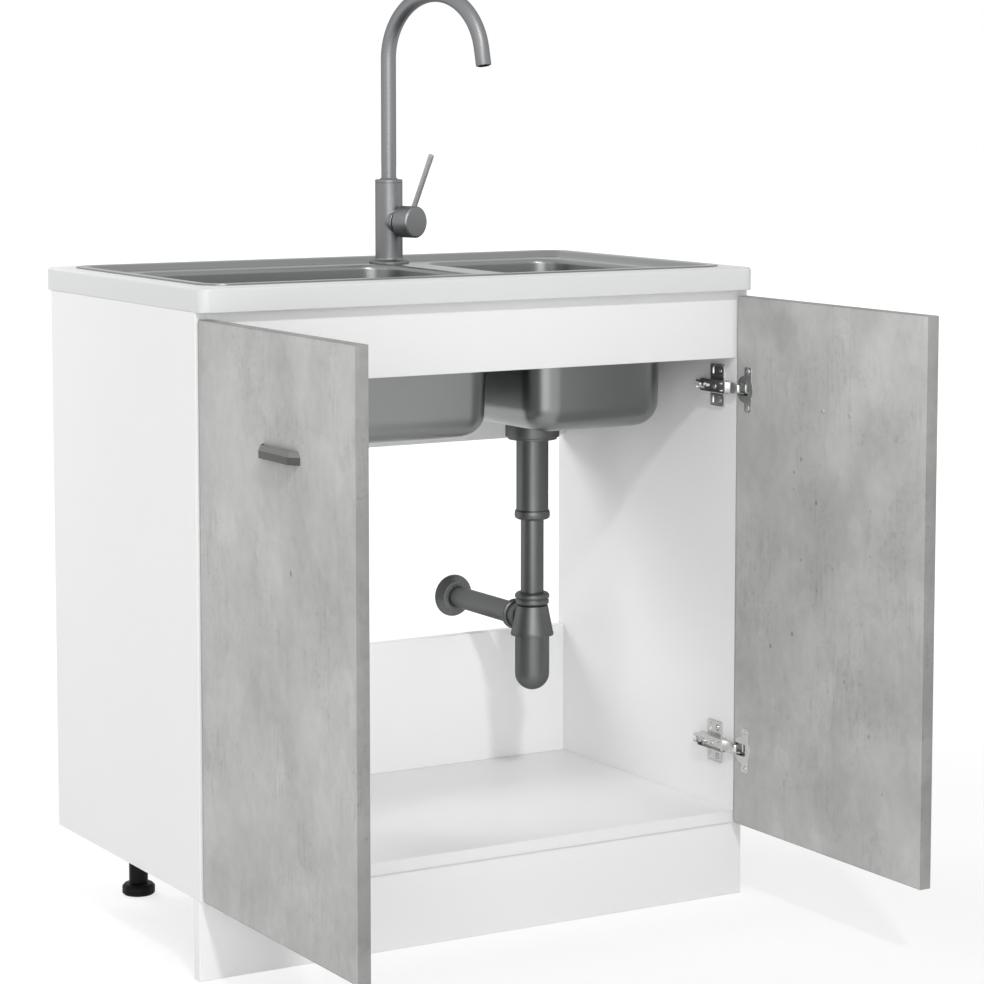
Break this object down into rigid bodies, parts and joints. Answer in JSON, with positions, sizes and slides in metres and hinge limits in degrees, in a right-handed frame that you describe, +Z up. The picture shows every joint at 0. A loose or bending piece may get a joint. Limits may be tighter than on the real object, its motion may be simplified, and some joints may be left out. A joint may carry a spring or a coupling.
{
  "type": "sink base cabinet",
  "caption": "Freestanding base cabinet with hinged doors, inset double bowl steel sink, arched mixer tap and bottle traps under the bowls.",
  "frame": {"origin": "centre of the lower face of the plinth board, on the floor", "axes": "+X to the right seen from the front, +Y from the doors to the wall, +Z up"},
  "size_m": [0.8156, 0.868, 1.2141],
  "materials": {
    "white_board": "smooth white melamine",
    "concrete_board": "matt concrete-look melamine",
    "sink_steel": "satin stainless sheet",
    "tap_steel": "brushed stainless",
    "drain_steel": "satin grey metal",
    "brass_nut": "plain",
    "handle_metal": "dark anodised",
    "hinge_nickel": "nickel plated",
    "black_plastic": "moulded black"
  },
  "bodies": {
    "cabinet": {"side_panel_left": "white_board", "side_panel_right": "white_board", "bottom_panel": "white_board", "front_top_rail": "white_board", "back_top_rail": "white_board", "back_low_rail": "white_board", "plinth_board": "white_board", "worktop": "white_board", "sink": "sink_steel", "tap_body": "tap_steel", "tap_lock_nut": "brass_nut", "leg_socket_front_left": "black_plastic", "leg_socket_front_right": "black_plastic", "leg_socket_back_left": "black_plastic", "leg_socket_back_right": "black_plastic", "waste_cup_left": "drain_steel", "tail_pipe_left": "drain_steel", "drop_pipe_left": "drain_steel", "trap_nut_left": "drain_steel", "trap_body_left": "drain_steel", "outlet_collar_left": "drain_steel", "outlet_pipe_left": "drain_steel", "wall_flange_left": "drain_steel", "waste_cup_right": "drain_steel", "tail_pipe_right": "drain_steel", "drop_pipe_right": "drain_steel", "trap_nut_right": "drain_steel", "trap_body_right": "drain_steel", "outlet_collar_right": "drain_steel", "outlet_pipe_right": "drain_steel", "wall_flange_right": "drain_steel", "hinge_arm_low_left": "hinge_nickel", "hinge_plate_low_left": "hinge_nickel", "hinge_arm_top_left": "hinge_nickel", "hinge_plate_top_left": "hinge_nickel", "hinge_arm_low_right": "hinge_nickel", "hinge_plate_low_right": "hinge_nickel", "hinge_arm_top_right": "hinge_nickel", "hinge_plate_top_right": "hinge_nickel"},
    "door_left": {"door_left": "concrete_board", "handle_left": "handle_metal", "hinge_cup_low_left": "hinge_nickel", "hinge_cup_top_left": "hinge_nickel"},
    "door_right": {"door_right": "concrete_board", "handle_right": "handle_metal", "hinge_cup_low_right": "hinge_nickel", "hinge_cup_top_right": "hinge_nickel"},
    "spout": {"tap_spout": "tap_steel", "tap_aerator": "black_plastic"},
    "mixer": {"tap_cartridge": "tap_steel"},
    "lever": {"tap_lever": "tap_steel"},
    "foot_front_left": {"leg_foot_front_left": "black_plastic"},
    "foot_front_right": {"leg_foot_front_right": "black_plastic"},
    "foot_back_left": {"leg_foot_back_left": "black_plastic"},
    "foot_back_right": {"leg_foot_back_right": "black_plastic"},
    "strainer_left": {"strainer_left": "sink_steel"},
    "bottle_left": {"trap_bottle_left": "drain_steel"},
    "strainer_right": {"strainer_right": "sink_steel"},
    "bottle_right": {"trap_bottle_right": "drain_steel"}
  },
  "joints": [
    {"name": "door_left_swing", "type": "hinge", "parent": "cabinet", "child": "door_left", "pos_m": [-0.3904, -0.0246, 0.454], "axis": [0, 0, 1], "range_deg": [-10, 90]},
    {"name": "door_right_swing", "type": "hinge", "parent": "cabinet", "child": "door_right", "pos_m": [0.3904, -0.0246, 0.454], "axis": [0, 0, -1], "range_deg": [-10, 90]},
    {"name": "spout_swivel", "type": "hinge", "parent": "cabinet", "child": "spout", "pos_m": [0.074, 0.376, 0.954], "axis": [0, 0, 1], "range_deg": [-120, 90]},
    {"name": "tap_temperature", "type": "hinge", "parent": "cabinet", "child": "mixer", "pos_m": [0.074, 0.376, 0.897], "axis": [0.2924, -0.9563, 0], "range_deg": [-45, 45]},
    {"name": "tap_flow", "type": "hinge", "parent": "mixer", "child": "lever", "pos_m": [0.08365, 0.34444, 0.897], "axis": [0.9563, 0.2924, 0], "range_deg": [0, 16]},
    {"name": "foot_front_left_height", "type": "slide", "parent": "cabinet", "child": "foot_front_left", "axis": [0, 0, 1], "range_m": [-0.02, 0]},
    {"name": "foot_front_right_height", "type": "slide", "parent": "cabinet", "child": "foot_front_right", "axis": [0, 0, 1], "range_m": [-0.02, 0]},
    {"name": "foot_back_left_height", "type": "slide", "parent": "cabinet", "child": "foot_back_left", "axis": [0, 0, 1], "range_m": [-0.02, 0]},
    {"name": "foot_back_right_height", "type": "slide", "parent": "cabinet", "child": "foot_back_right", "axis": [0, 0, 1], "range_m": [-0.02, 0]},
    {"name": "strainer_left_lift", "type": "slide", "parent": "cabinet", "child": "strainer_left", "axis": [0, 0, 1], "range_m": [0, 0.06]},
    {"name": "bottle_left_drop", "type": "slide", "parent": "cabinet", "child": "bottle_left", "axis": [0, 0, -1], "range_m": [0, 0.05]},
    {"name": "strainer_right_lift", "type": "slide", "parent": "cabinet", "child": "strainer_right", "axis": [0, 0, 1], "range_m": [0, 0.06]},
    {"name": "bottle_right_drop", "type": "slide", "parent": "cabinet", "child": "bottle_right", "axis": [0, 0, -1], "range_m": [0, 0.05]}
  ]
}
